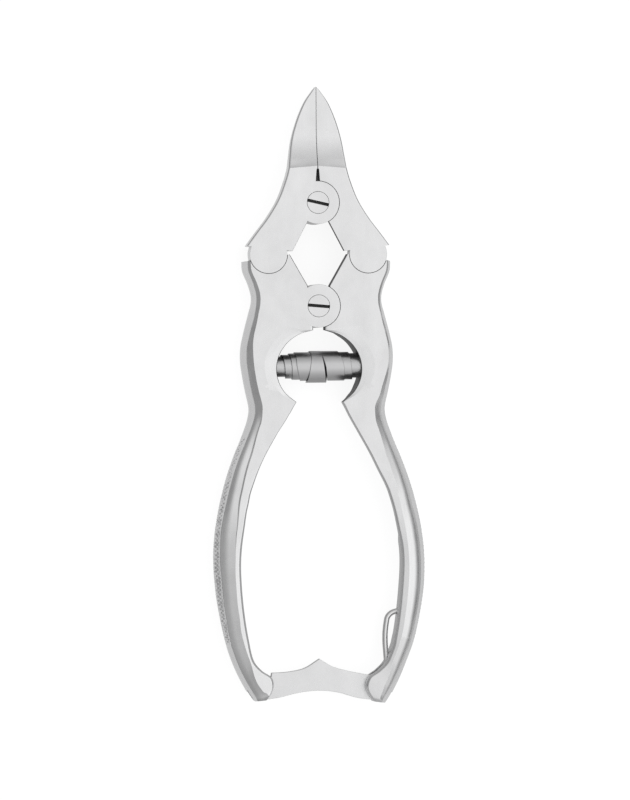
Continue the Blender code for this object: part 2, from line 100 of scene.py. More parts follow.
THICKNESS = (CAD_BOX[1][2] - CAD_BOX[0][2]) / MM
MID = THICKNESS / 2
LAP_GAP = 0.05
LAP_CLEARANCE = 0.1
JAW_DISC_R = 4.86
HANDLE_DISC_R = 4.9
TAIL_DISC_R = 4.3
HEAD_DISC_R = 3.6
TAIL_SHOULDER_R = 3.75
SCREW_HEAD_R = 2.5
SCREW_HEAD_DEPTH = 1.7
SCREW_SHANK_R = 1.5
SCREW_CLEARANCE = 0.05
SCREW_SLOT_WIDTH = 0.72
SCREW_SLOT_DEPTH = 1.1
LINK_PIN_R = 1.5
LOCK_PIN_R = 0.8
PIN_CLEARANCE = 0.05
LINK_PIN_TOP = 6.6
LOCK_PIN_TOP = 5.8
WINDOW_Y = 6.0
WINDOW_HALF_WIDTH = 9.7
WINDOW_HALF_HEIGHT = 8.9
NOTCH_HALF_WIDTH = 1.35
FAR = 40.0
SKIN = 0.003  # how far the lap discs lie under the flats round them
FLAT_TILT, OUTER_FLAT_TILT = 0.99995, 0.998  # least upright part of a flat's normal, inside and outside
RIM_DEPTH = 0.15
SOFT_SHARE = 0.3  # middle of a soft rim, as a share of its width
ROUND_STEPS = 160
CUTTER_PHASE = 0.41  # of a step, so that no edge of a cutter lies along an edge of a disc


# Curves.


def catmull(a, b, c, d, t):
    """Point at t between b and c on the centripetal curve through a, b, c and d."""
    before, span, after = sqrt((b - a).length), sqrt((c - b).length), sqrt((d - c).length)
    leave = ((b - a) / before - (c - a) / (before + span) + (c - b) / span) * span
    arrive = ((c - b) / span - (d - b) / (span + after) + (d - c) / after) * span
    return (
        (2 * t**3 - 3 * t**2 + 1) * b + (t**3 - 2 * t**2 + t) * leave
        + (3 * t**2 - 2 * t**3) * c + (t**3 - t**2) * arrive
    )


def through(points, counts):
    """Points along a smooth curve through the given ones, with a count of steps for each span."""
    knots = [Vector(point) for point in points]
    knots = [2 * knots[0] - knots[1], *knots, 2 * knots[-1] - knots[-2]]
    if isinstance(counts, int):
        counts = [counts] * (len(points) - 1)
    result = []
    for span, count in enumerate(counts):
        result += [catmull(*knots[span : span + 4], step / count) for step in range(count)]
    return [*result, knots[-2]]


def rail(points, corners, counts):
    """The same, with the curve broken at the knots whose numbers are in corners."""
    stops = [0, *corners, len(points) - 1]
    result = []
    for start, stop in zip(stops, stops[1:]):
        result += through(points[start : stop + 1], counts[start:stop])[:-1]
    return [*result, Vector(points[-1])]


def on_arc(centre, radius, degrees):
    return (centre[0] + radius * cos(radians(degrees)), centre[1] + radius * sin(radians(degrees)))


WINDOW_END_TURN = -57.0
SUPPORT = 0.06  # width of the narrow strips that hold the shading of a face up to its bends
BEND_LIMIT = 0.45  # largest share of a side that one bend takes
SHARP = 1e-6


def on_window(degrees):
    """Point of the spring window's rim."""
    turn = radians(degrees)
    return (WINDOW_HALF_WIDTH * cos(turn), WINDOW_Y + WINDOW_HALF_HEIGHT * sin(turn))


def rounded(corners, samples, bend_steps=4):
    """Closed outline of a section. corners holds (u, z, fillet), samples the points on each side."""
    points = [Vector(corner[:2]) for corner in corners]
    count = len(points)
    result = []
    for k, corner in enumerate(points):
        before, after, following = points[k - 1], points[(k + 1) % count], points[(k + 2) % count]
        into, out = corner - before, after - corner
        beyond = following - after
        reach = min(corners[k][2], BEND_LIMIT * into.length, BEND_LIMIT * out.length)
        start = corner - into.normalized() * reach if reach > SHARP else corner
        end = corner + out.normalized() * reach if reach > SHARP else corner
        for step in range(bend_steps + 1):
            t = step / bend_steps
            result.append((1 - t) ** 2 * start + 2 * t * (1 - t) * corner + t * t * end)
        next_reach = min(corners[(k + 1) % count][2], BEND_LIMIT * out.length, BEND_LIMIT * beyond.length)
        stop = after - out.normalized() * next_reach if next_reach > SHARP else after
        shares = [step / (samples[k] + 1) for step in range(1, samples[k] + 1)]
        if len(shares) > 1:
            shares[0] = min(shares[0], SUPPORT / max((stop - end).length, SUPPORT))
            shares[-1] = 1 - shares[0]
        result += [end + (stop - end) * share for share in shares]
    return result


def blend_keys(keys, at):
    """Values interpolated smoothly between (place, values) keys, given in rising order of place."""
    if at <= keys[0][0]:
        return keys[0][1]
    for (low, first), (high, second) in zip(keys, keys[1:]):
        if at <= high:
            t = (at - low) / (high - low)
            t = t * t * (3 - 2 * t)
            return [a + (b - a) * t for a, b in zip(first, second)]
    return keys[-1][1]


# Meshes.


def mesh_of(solid, name):
    bmesh.ops.recalc_face_normals(solid, faces=solid.faces)
    mesh = bpy.data.meshes.new(name)
    solid.to_mesh(mesh)
    solid.free()
    return mesh


def loft(rings, name, side=1, shaded=((), ())):
    """Closed solid through rings of points (in millimetres) with the same count in each.

    The last argument holds the numbers of the rings and of the points whose faces are left dark, with the
    painted shade of the inner walls.
    """
    solid = bmesh.new()
    rows = [[solid.verts.new((x * side * MM, y * MM, z * MM)) for x, y, z in ring] for ring in rings]
    count = len(rows[0])
    for row, (low, high) in enumerate(zip(rows, rows[1:])):
        for k in range(count):
            face = solid.faces.new((low[k - 1], low[k], high[k], high[k - 1]))
            if row in shaded[0] and k in shaded[1]:
                face.material_index = 1
    solid.faces.new(rows[0])
    solid.faces.new(rows[-1])
    return mesh_of(solid, name)


def turned(profile, name, centre=(0.0, 0.0), steps=ROUND_STEPS, phase=0.0):
    """Solid of revolution about a vertical axis. The (radius, Z) profile starts and ends on the axis."""
    solid = bmesh.new()
    ends = [solid.verts.new((centre[0] * MM, centre[1] * MM, z * MM)) for _, z in (profile[0], profile[-1])]
    rows = []
    for radius, z in profile[1:-1]:
        turns = [2 * pi * (k + phase) / steps for k in range(steps)]
        places = [(centre[0] + radius * cos(a), centre[1] + radius * sin(a), z) for a in turns]
        rows.append([solid.verts.new([c * MM for c in place]) for place in places])
    for low, high in zip(rows, rows[1:]):
        for k in range(steps):
            solid.faces.new((low[k - 1], low[k], high[k], high[k - 1]))
    for k in range(steps):
        solid.faces.new((rows[0][k], rows[0][k - 1], ends[0]))
        solid.faces.new((rows[-1][k - 1], rows[-1][k], ends[1]))
    return mesh_of(solid, name)


def block(low, high, turn=0.0):
    low, high = Vector(low) * MM, Vector(high) * MM
    solid = bmesh.new()
    size = Matrix.Diagonal((*[abs(high[k] - low[k]) for k in range(3)], 1.0))
    place = Matrix.Translation((low + high) / 2) @ Matrix.Rotation(turn, 4, "Z")
    bmesh.ops.create_cube(solid, size=1.0, matrix=place @ size)
    return mesh_of(solid, "block")


def rod(start, end, radius, steps=64):
    start, end = Vector(start) * MM, Vector(end) * MM
    turn = (end - start).to_track_quat("Z", "Y").to_matrix().to_4x4()
    solid = bmesh.new()
    bmesh.ops.create_cone(
        solid, cap_ends=True, segments=steps, radius1=radius * MM, radius2=radius * MM,
        depth=(end - start).length, matrix=Matrix.Translation((start + end) / 2) @ turn,
    )
    return mesh_of(solid, "rod")


def joined(meshes, name):
    """One mesh that holds several separate solids."""
    solid = bmesh.new()
    for mesh in meshes:
        solid.from_mesh(mesh)
        bpy.data.meshes.remove(mesh)
    mesh = bpy.data.meshes.new(name)
    solid.to_mesh(mesh)
    solid.free()
    return mesh


def give_materials(mesh, materials):
    """Fills the mesh's material slots and leaves its faces' slot numbers as they are."""
    while len(mesh.materials) < len(materials):
        mesh.materials.append(None)
    for k, material in enumerate(materials):
        mesh.materials[k] = material


def combine(mesh, operation, tools, shaded=False):
    """mesh after one Boolean with the tools, which don't overlap each other."""
    scene = bpy.context.scene
    tools = joined(tools, "tool")
    # With the flag set, the tools' faces take the second slot, the painted shade of the inner walls.
    tools.polygons.foreach_set("material_index", [int(shaded)] * len(tools.polygons))
    obj = bpy.data.objects.new("target", mesh)
    tool = bpy.data.objects.new("tool", tools)
    for each in (obj, tool):
        scene.collection.objects.link(each)
        give_materials(each.data, (HANDLE_STEEL, SHADED_INNER_STEEL))
    modifier = obj.modifiers.new("cut", "BOOLEAN")
    modifier.operation = operation
    modifier.solver = "EXACT"
    modifier.object = tool
    graph = bpy.context.evaluated_depsgraph_get()
    result = bpy.data.meshes.new_from_object(obj.evaluated_get(graph))
    bpy.data.objects.remove(obj)
    bpy.data.objects.remove(tool)
    return result


def keep_flats(mesh):
    """Shades the front and back faces as true planes up to their soft rims."""
    normals = np.empty(len(mesh.loops) * 3, dtype=np.float32)
    mesh.corner_normals.foreach_get("vector", normals)
    normals = normals.reshape(-1, 3)
    for face in mesh.polygons:
        heights = [mesh.vertices[k].co.z / MM for k in face.vertices]
        low, high = min(heights), max(heights)
        in_front, at_back = low > THICKNESS - RIM_DEPTH, high < RIM_DEPTH
        limit = OUTER_FLAT_TILT if in_front or at_back else FLAT_TILT
        in_skin = low > THICKNESS - 2 * SKIN or high < 2 * SKIN
        if in_skin or abs(face.normal.z) > limit:
            way = int(in_front) - int(at_back) or round(face.normal.z)
            normals[face.loop_start : face.loop_start + face.loop_total] = (0.0, 0.0, way)
    mesh.normals_split_custom_set([tuple(float(c) for c in normal) for normal in normals])


def piece(name, mesh, materials, body=None, crease=24):
    obj = bpy.data.objects.new(name, mesh)
    bpy.context.scene.collection.objects.link(obj)
    mesh.name = name
    give_materials(mesh, materials)
    mesh.shade_smooth()
    mesh.set_sharp_from_angle(angle=radians(crease))
    keep_flats(mesh)
    if body:
        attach(obj, body)
    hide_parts(name)
    return obj


# Materials.


class Nodes:
    """Short calls for building a material's node tree."""

    def __init__(self, name):
        self.material = bpy.data.materials.new(name)
        self.material.use_nodes = True
        self.tree = self.material.node_tree
        self.shader = self.tree.nodes["Principled BSDF"]

    def add(self, kind, settings=None, **inputs):
        node = self.tree.nodes.new(kind)
        for key, value in (settings or {}).items():
            setattr(node, key, value)
        for key, value in inputs.items():
            socket = node.inputs[key.replace("_", " ")]
            if isinstance(value, bpy.types.NodeSocket):
                self.tree.links.new(value, socket)
            else:
                socket.default_value = value
        return node

    def link(self, source, socket):
        self.tree.links.new(source, self.shader.inputs[socket])

    def noise(self, scale, detail, roughness):
        """Noise over the object's own coordinates, scaled per axis."""
        coords = self.add("ShaderNodeTexCoord")
        place = self.add("ShaderNodeMapping", Vector=coords.outputs["Object"], Scale=scale)
        place = place.outputs["Vector"]
        node = self.add("ShaderNodeTexNoise", Vector=place, Scale=1.0, Detail=detail, Roughness=roughness)
        return node.outputs["Fac"]

    def remap(self, value, low, high, out_low, out_high):
        node = self.add("ShaderNodeMapRange", {"clamp": True})
        self.tree.links.new(value, node.inputs["Value"])
        ends = (("From Min", low), ("From Max", high), ("To Min", out_low), ("To Max", out_high))
        for key, number in ends:
            node.inputs[key].default_value = number
        return node.outputs["Result"]

    def bump(self, height, strength, distance, normal=None):
        node = self.add("ShaderNodeBump", Strength=strength, Distance=distance, Height=height)
        if normal:
            self.tree.links.new(normal, node.inputs["Normal"])
        return node.outputs["Normal"]


STREAK_DEPTH = 0.000003
LINE_DEPTH = 0.0000002
CLOUD_TINT = 0.93
CLOUD_SCALE = (260.0, 170.0, 260.0)
WAVE_SCALE = (90.0, 55.0, 90.0)
NOISE_RANGE = (0.3, 0.7)


def steel(name, colour, roughness, spread, grain, wave):
    """Ground stainless steel: fine grinding lines, slow hand-polish waves and cloudy gloss.

    The lines run along the axis in which the grain's scale is smallest. wave is the waves' height.
    """
    nodes = Nodes(name)
    lines = nodes.noise(grain, 2.0, 0.5)
    streaks = nodes.noise([scale / 4 for scale in grain], 3.0, 0.6)
    clouds = nodes.noise(CLOUD_SCALE, 4.0, 0.6)
    waves = nodes.noise(WAVE_SCALE, 1.0, 0.4)
    tint = nodes.add("ShaderNodeMixRGB", {"blend_type": "MIX"})
    nodes.tree.links.new(nodes.remap(clouds, *NOISE_RANGE, 0.0, 1.0), tint.inputs["Fac"])
    tint.inputs["Color1"].default_value = (*[c * CLOUD_TINT for c in colour], 1.0)
    tint.inputs["Color2"].default_value = (*colour, 1.0)
    nodes.link(tint.outputs["Color"], "Base Color")
    mixed = nodes.add("ShaderNodeMath", {"operation": "ADD"})
    patchy = nodes.remap(clouds, *NOISE_RANGE, -spread, spread)
    lined = nodes.remap(lines, *NOISE_RANGE, roughness - spread, roughness + spread)
    nodes.tree.links.new(patchy, mixed.inputs[0])
    nodes.tree.links.new(lined, mixed.inputs[1])
    nodes.link(mixed.outputs["Value"], "Roughness")
    slow = nodes.bump(waves, 1.0, wave)
    brushed = nodes.bump(streaks, 1.0, STREAK_DEPTH, slow)
    nodes.link(nodes.bump(lines, 1.0, LINE_DEPTH, brushed), "Normal")
    nodes.shader.inputs["Metallic"].default_value = 1.0
    return nodes.material


# Near black of the painted shade in the screws' slots.
SLOT_SHADE_GREY = 0.03


def paint_slot_shade(material, unshaded_above, fully_shaded_below):
    """Paints shade into a finish, darker with depth below the front face, as in a screw's slot."""
    nodes = material.node_tree
    shader = nodes.nodes["Principled BSDF"]
    colour = shader.inputs["Base Color"].links[0].from_socket
    coords = nodes.nodes.new("ShaderNodeTexCoord")
    split = nodes.nodes.new("ShaderNodeSeparateXYZ")
    depth = nodes.nodes.new("ShaderNodeMapRange")
    depth.inputs["From Min"].default_value = fully_shaded_below * MM
    depth.inputs["From Max"].default_value = unshaded_above * MM
    depth.inputs["To Min"].default_value = 1.0
    depth.inputs["To Max"].default_value = 0.0
    mix = nodes.nodes.new("ShaderNodeMixRGB")
    mix.inputs["Color2"].default_value = (SLOT_SHADE_GREY, SLOT_SHADE_GREY, SLOT_SHADE_GREY, 1.0)
    nodes.links.new(coords.outputs["Object"], split.inputs["Vector"])
    nodes.links.new(split.outputs["Z"], depth.inputs["Value"])
    nodes.links.new(depth.outputs["Result"], mix.inputs["Fac"])
    nodes.links.new(colour, mix.inputs["Color1"])
    nodes.links.new(mix.outputs["Color"], shader.inputs["Base Color"])


SHADE_START_DEPTH, SHADE_FULL_DEPTH = 0.15, 0.6  # where the painted shade in the screws' slots starts and is full
GRAIN_ALONG = (4000.0, 220.0, 4000.0)
GRAIN_ACROSS = (500.0, 5000.0, 5000.0)
EVEN_GRAIN = (2500.0, 2500.0, 2500.0)
HANDLE_STEEL = steel("satin_handle_steel", (0.80, 0.80, 0.805), 0.28, 0.03, GRAIN_ALONG, 0.00024)
JAW_STEEL = steel("satin_jaw_steel", (0.81, 0.81, 0.815), 0.27, 0.03, GRAIN_ALONG, 0.0002)
# Painted shade: a near-black, rougher steel for the walls of holes, pockets, the spring window and the jaws'
# inner arm walls, where shade falls.
SHADED_INNER_STEEL = steel("rough_inner_steel_with_painted_shade", (0.13, 0.13, 0.13), 0.45, 0.05, EVEN_GRAIN, 0.00005)
SCREW_STEEL = steel("polished_screw_steel", (0.79, 0.79, 0.795), 0.24, 0.03, EVEN_GRAIN, 0.00002)
PIN_STEEL = steel("rivet_steel", (0.6, 0.6, 0.6), 0.3, 0.03, EVEN_GRAIN, 0.00002)
SPRING_STEEL = steel("bright_spring_steel", (0.62, 0.62, 0.625), 0.33, 0.04, GRAIN_ACROSS, 0.00008)
WIRE_STEEL = steel("bright_wire_steel", (0.8, 0.8, 0.8), 0.22, 0.03, EVEN_GRAIN, 0.00001)
LOCK_STEEL = steel("brushed_lock_steel", (0.78, 0.78, 0.785), 0.3, 0.05, EVEN_GRAIN, 0.00026)
# Painted shade: the screws darken with depth below the front face, as if shaded in their slots; their shanks
# and back ends turn near black too.
paint_slot_shade(SCREW_STEEL, THICKNESS - SHADE_START_DEPTH, THICKNESS - SHADE_FULL_DEPTH)


# Handles.

HANDLE_STATIONS = [  # (outer point, inner point) of sections from the head to the rounded end
    ((16.9, 30.4), (6.56, 32.0)),
    ((16.75, 28.3), (5.2, 29.62)),
    ((15.5, 25.2), (3.6, 26.82)),
    ((14.8, 22.6), (2.5, 24.9)),
    ((14.85, 20.8), (1.8, 20.5)),
    ((15.35, 18.9), (NOTCH_HALF_WIDTH, 15.7)),
    ((15.75, 17.4), on_window(82.0)),
    ((16.65, 13.9), on_window(62.0)),
    ((17.25, 10.9), on_window(40.0)),
    ((17.35, 8.0), on_window(16.0)),
    ((16.95, 4.8), on_window(-9.0)),
    ((16.25, 1.2), on_window(-34.0)),
    ((15.45, -2.4), on_window(WINDOW_END_TURN)),
    ((15.42, -3.6), (5.95, -2.75)),
    ((15.85, -5.8), (6.95, -4.75)),
    ((17.3, -9.8), (9.05, -8.5)),
    ((19.0, -13.9), (11.9, -13.7)),
    ((20.7, -18.7), (14.25, -18.9)),
    ((22.2, -24.1), (16.2, -24.9)),
    ((23.4, -30.2), (17.35, -30.7)),
    ((24.0, -37.0), (18.0, -37.2)),
    ((23.8, -43.5), (17.85, -43.0)),
    ((22.8, -49.9), (17.3, -48.9)),
    ((21.3, -56.3), (16.35, -55.0)),
    ((19.3, -62.0), (15.1, -60.1)),
    ((18.0, -64.9), (13.3, -62.4)),
    ((16.9, -67.0), (11.2, -64.1)),
    ((15.9, -68.7), (10.9, -66.3)),
    ((15.4, -69.45), (11.4, -68.1)),
    ((15.0, -69.85), (12.4, -69.5)),
]
WINDOW_START, WINDOW_END = 6, 12
INNER_CORNERS = [3, 5, WINDOW_START, WINDOW_END]
LEFT_END_FROM, LEFT_END_SHORTENING = -60.0, 0.93
OUTER_SHIFT = {  # the two grips are ground by hand: how far each outline is from the common one
    -1: [(-60.0, 0.0), (-45.0, -0.1), (-30.0, 0.2), (-15.0, 0.35), (-3.0, 0.3), (8.0, 0.2), (30.0, 0.15)],
    1: [(-62.0, 0.0), (-54.0, 0.3), (-35.0, 0.3), (-23.0, 0.15), (-12.0, 0.0)],
}
INNER_SHIFT = {
    -1: [
        (-69.0, 0.0), (-66.0, -0.1), (-62.0, 0.1), (-58.0, 0.1), (-30.0, 0.0), (-25.0, 0.2), (-21.5, 0.45),
        (-14.0, 0.65), (-9.0, 0.6), (-5.0, 0.3), (-3.0, 0.1), (-1.4, 0.0),
    ],
    1: [
        (-69.5, -0.1), (-66.0, -0.55), (-64.0, -0.3), (-60.0, 0.1), (-56.0, 0.55), (-46.0, 0.55),
        (-35.0, 0.7), (-28.0, 0.5), (-22.0, 0.45), (-16.0, 0.0), (-1.8, 0.0),
    ],
}
SECTION_SPACING = 0.3
KNURL_SPACING = 0.16
KNURL_FROM, KNURL_TO = -57.0, -8.5
KNURL_PITCH = 0.95
KNURL_DEPTH = 0.26
KNURL_REACH = {-1: 2.3, 1: 1.2}

# Section of a handle by the Y of its outer point, all in millimetres: half height of the outer wall;
# inset and height above the middle of the outer crease; how far the slope is bowed out; height
# of the ridge; width and drop of the inner bevel; height of the inner wall's top; undercut at the
# back.
HANDLE_SECTIONS = [
    (-70.0, (0.7, 0.8, 1.9, 0.3, 3.1, 0.35, 0.3, 2.4, 0.0)),
    (-69.5, (0.7, 0.85, 2.15, 0.3, 3.4, 0.4, 0.25, 2.65, 0.0)),
    (-61.0, (0.7, 0.9, 2.2, 0.3, 3.5, 0.45, 0.2, 2.7, 0.0)),
    (-55.9, (0.7, 0.88, 2.2, 0.3, 3.5, 0.45, 0.2, 2.7, 0.2)),
    (-55.2, (0.7, 0.9, 2.25, 0.36, 3.52, 0.45, 0.2, 2.7, 0.25)),
    (-40.0, (0.7, 1.05, 2.35, 0.45, 3.6, 0.45, 0.2, 2.7, 0.3)),
    (-34.0, (0.7, 1.1, 2.35, 0.45, 3.63, 0.45, 0.2, 2.8, 0.35)),
    (-29.0, (0.7, 1.1, 2.35, 0.45, 3.68, 0.35, 0.14, 3.1, 1.0)),
    (-24.0, (0.7, 1.15, 2.35, 0.45, 3.75, 0.3, 0.1, 3.35, 1.0)),
    (-14.0, (0.75, 1.05, 2.4, 0.35, 3.9, 0.2, 0.02, 3.68, 1.0)),
    (-5.0, (0.8, 1.1, 2.6, 0.15, 4.0, 0.18, 0.0, 3.82, 1.0)),
    (-2.4, (0.8, 1.1, 2.6, 0.1, 4.0, 0.3, 0.02, 3.85, 0.8)),
    (0.6, (0.8, 1.1, 2.6, 0.08, 4.0, 1.1, 0.1, 3.75, 0.25)),
    (3.0, (0.8, 1.1, 2.6, 0.08, 4.0, 1.5, 0.2, 3.7, 0.0)),
    (8.0, (0.9, 1.1, 2.7, 0.08, 4.0, 1.7, 0.2, 3.7, 0.0)),
    (13.0, (0.9, 1.0, 3.0, 0.05, 4.0, 1.5, 0.18, 3.75, 0.1)),
    (15.5, (0.9, 1.0, 3.2, 0.05, 4.0, 1.3, 0.14, 3.75, 0.5)),
    (17.4, (0.9, 1.0, 3.2, 0.05, 4.0, 0.5, 0.02, 3.85, 0.7)),
    (22.0, (0.9, 0.7, 3.3, 0.03, 4.0, 0.18, 0.0, 3.8, 0.75)),
    (31.0, (0.9, 0.9, 3.5, 0.03, 4.0, 0.18, 0.0, 3.8, 0.75)),
]
RIDGE_STEP = 0.28
# By the same Y, for each side: how far the ridge is from the outer edge, and its fillet; shares of the
# bow and of the bevel's drop; height of the small step at the ridge; extra inset of the outer crease.
HANDLE_SIDES = {
    -1: [
        (-69.4, (9.0, 0.3, 0.5, 0.3, 0.0, 0.0)), (-68.7, (3.5, 0.3, 0.4, 0.3, 0.0, 0.0)),
        (-68.0, (2.85, 0.3, 0.35, 0.3, 0.0, 0.0)), (-66.5, (2.75, 0.4, 0.35, 0.3, 0.0, 0.0)),
        (-61.0, (3.6, 0.4, 0.35, 0.3, 0.0, 0.0)), (-55.0, (3.7, 0.4, 0.35, 0.3, 0.0, 0.0)),
        (-50.0, (4.1, 0.5, 0.35, 0.3, 0.0, 0.2)), (-42.0, (4.5, 0.5, 0.35, 0.3, 0.0, 0.4)),
        (-36.0, (4.7, 0.5, 0.5, 0.3, 0.0, 0.2)), (-30.0, (4.6, 0.2, 0.6, 0.3, 0.1, 0.0)),
        (-22.0, (4.0, 0.1, 0.8, 0.5, 0.25, 0.0)), (-14.0, (3.65, 0.1, 0.7, 1.0, 0.3, 0.0)),
        (-7.0, (3.0, 0.1, 0.5, 1.0, 0.2, 0.0)), (-3.4, (2.7, 0.1, 0.5, 1.0, 0.02, 0.0)),
        (7.9, (2.6, 0.1, 0.5, 1.0, 0.0, 0.0)), (15.0, (2.0, 0.1, 0.5, 1.0, 0.0, 0.0)),
        (22.0, (1.65, 0.1, 0.5, 1.0, 0.0, 0.0)), (29.5, (1.6, 0.1, 0.5, 1.0, 0.0, 0.0)),
    ],
    1: [
        (-69.9, (2.0, 0.5, 0.8, 1.0, 0.0, 0.0)), (-68.7, (2.4, 0.8, 1.1, 1.0, 0.0, 0.0)),
        (-66.5, (2.8, 1.0, 1.1, 1.0, 0.0, 0.0)), (-61.0, (3.3, 1.0, 1.1, 1.0, 0.0, 0.0)),
        (-42.0, (4.0, 1.2, 1.0, 1.0, 0.0, 0.0)), (-30.0, (4.1, 1.2, 1.0, 1.0, 0.0, 0.0)),
        (-15.0, (3.8, 1.0, 1.0, 1.0, 0.0, 0.0)), (-7.0, (3.2, 0.8, 1.0, 1.0, 0.0, 0.0)),
        (-3.4, (2.8, 0.1, 0.5, 1.0, 0.0, 0.0)), (0.6, (2.2, 0.1, 0.2, 1.0, 0.0, 0.0)),
        (7.9, (1.5, 0.1, 0.1, 1.0, 0.0, 0.0)), (15.0, (1.45, 0.1, 0.1, 1.0, 0.0, 0.0)),
        (22.0, (1.25, 0.1, 0.1, 1.0, 0.0, 0.0)), (29.5, (1.3, 0.1, 0.1, 1.0, 0.0, 0.0)),
    ],
}
CREASE_RISE = {  # how far each side's outer crease lies above the common one, by the same Y
    -1: [(-34.0, 0.0), (-24.0, 0.25), (-14.0, 0.5), (-7.0, 0.45), (-2.4, 0.1), (3.0, 0.0)],
    1: [(-3.4, 0.0), (0.6, 0.5), (5.0, 0.9), (13.0, 0.7), (17.0, 0.5), (22.0, 0.35), (31.0, 0.2)],
}
SECTION_SAMPLES = [12, 8, 8, 2, 6, 3, 4, 6, 3, 6, 2, 8, 8, 12, 14]
BEND_STEPS = 4
INNER_WALL_FROM, INNER_WALL_TO = 6, 8
NARROW_SECTION = 4.5  # sections that are narrower have their bevels scaled down
BOW_PLACE = 0.36  # where the slope's bend lies between the crease and the ridge
INNER_WAIST_Z = 1.5
GROOVE_SHARE = 0.6
KNURL_FADE_ALONG, KNURL_FADE_UP = 1.5, 0.35


def handle_section(y, width, side):
    """Closed (inset from the outer edge, Z) outline of the handle, and the inset of its outer crease."""
    wall, crease, crease_z, bow, ridge_z, bevel, drop, inner_z, undercut = blend_keys(HANDLE_SECTIONS, y)
    ridge, fillet, bow_share, drop_share, step, crease_shift = blend_keys(HANDLE_SIDES[side], y)
    bow, drop = bow * bow_share, drop * drop_share
    crease_z += blend_keys([(at, (rise,)) for at, rise in CREASE_RISE[side]], y)[0]
    scale = min(1.0, width / NARROW_SECTION)
    crease, bevel = (crease + crease_shift) * scale, bevel * scale
    ridge = min(ridge * scale, width - bevel - 0.1 * scale)
    ridge = max(ridge, crease + 0.1 * scale)
    middle = crease + (ridge - crease) * BOW_PLACE
    middle_z = crease_z + (ridge_z - crease_z) * BOW_PLACE + bow
    soft = 0.9 if y < -6 else 0.25
    foot = max(ridge - min(RIDGE_STEP, 0.02 + step) * scale, (ridge + middle) / 2)
    front = [
        (0.0, wall, 0.5), (crease, crease_z, 0.2), (middle, min(middle_z, ridge_z - step - 0.02), soft),
        (foot, ridge_z - step, min(fillet, 0.1)), (ridge, ridge_z, fillet),
        (width - bevel, ridge_z - drop, 0.2), (width, inner_z, 0.15),
    ]
    back = [(u, -z, fillet) for u, z, fillet in reversed(front)]
    cut = min(undercut, width * 0.3)
    back[0] = (width - cut, -inner_z, 0.15)
    back[1] = (width - max(cut, bevel), -(ridge_z - drop), 0.2)
    corners = [*front, (width, INNER_WAIST_Z, 0.4), *back]
    outline = rounded([(u, z + MID, fillet) for u, z, fillet in corners], SECTION_SAMPLES)
    return outline, crease


def corner_start(number):
    """Number of the outline's first point at a corner of the handle's section."""
    return sum(SECTION_SAMPLES[:number]) + (BEND_STEPS + 1) * number


def groove(x):
    """Depth from 0 to 1 across one family of knurling cuts, x in pitches."""
    share = abs((x % 1.0) * 2 - 1)
    return max(0.0, 1 - share / GROOVE_SHARE)


def knurl(along, height, y, limit):
    """How far the knurled outer band is cut in at a place along the grip and up its side."""
    if not KNURL_FROM < y < KNURL_TO or abs(height) > limit:
        return 0.0
    from_ends = min(y - KNURL_FROM, KNURL_TO - y)
    fade = min(1.0, from_ends / KNURL_FADE_ALONG, (limit - abs(height)) / KNURL_FADE_UP)
    wander = 0.12 * sin(along * 0.9) + 0.1 * sin(along * 0.37 + 2.0)
    rising = groove((along + height) / KNURL_PITCH + wander)
    falling = groove((along - height) / KNURL_PITCH - wander)
    cut = max(rising, falling)
    worn = 0.75 + 0.25 * sin(along * 1.7 + height * 2.1) * sin(along * 0.61 - height * 1.3)
    return KNURL_DEPTH * fade * cut * worn


def spans(stations, spacing_at):
    """Steps for each span between stations, so that no step is longer than the spacing wanted there."""
    counts = []
    for start, end in zip(stations, stations[1:]):
        longest = max((Vector(there) - Vector(here)).length for here, there in zip(start, end))
        counts.append(max(2, ceil(longest / spacing_at((start[0][1] + end[0][1]) / 2))))
    return counts


def handle_body(side):
    counts = spans(
        HANDLE_STATIONS,
        lambda y: KNURL_SPACING if KNURL_FROM < y < KNURL_TO else SECTION_SPACING,
    )
    outers = rail([outer for outer, _ in HANDLE_STATIONS], [], counts)
    inners = rail([inner for _, inner in HANDLE_STATIONS], INNER_CORNERS, counts)
    for points, shifts in ((outers, OUTER_SHIFT[side]), (inners, INNER_SHIFT[side])):
        for point in points:
            point.x += blend_keys([(y, (shift,)) for y, shift in shifts], point.y)[0]
            if side < 0 and point.y < LEFT_END_FROM:
                point.y = LEFT_END_FROM + (point.y - LEFT_END_FROM) * LEFT_END_SHORTENING
    rings = []
    along = 0.0
    for k, (outer, inner) in enumerate(zip(outers, inners)):
        if k:
            along += (outer - outers[k - 1]).length
        across = inner - outer
        width = across.length
        across = across / width
        section, crease = handle_section(outer.y, width, side)
        limit = KNURL_REACH[side]
        ring = []
        for u, z in section:
            if u < width / 2 and u < crease + 0.3:
                u += knurl(along, z - MID, outer.y, limit)
            place = outer + across * u
            ring.append((place.x, place.y, z))
        rings.append(ring)
    # The spring window's wall takes the painted shade of the inner walls.
    wall = range(corner_start(INNER_WALL_FROM) + 1, corner_start(INNER_WALL_TO) + BEND_STEPS + 1)
    return loft(rings, "handle_body", side, (range(sum(counts[:WINDOW_END])), wall))


def disc(centre, radius, low, high, side, soft=0.1):
    """Round lap disc with its two rims softened."""
    flat = radius - soft - SUPPORT
    part = soft * SOFT_SHARE
    profile = [
        (0.0, low), (flat, low), (flat + SUPPORT, low), (radius - part, low + part),
        (radius, low + soft), (radius, low + soft + SUPPORT), (radius, high - soft - SUPPORT),
        (radius, high - soft), (radius - part, high - part), (flat + SUPPORT, high),
        (flat, high), (0.0, high),
    ]
    return turned(profile, "disc", (centre[0] * side, centre[1]))


CUTTER_RING = 0.08


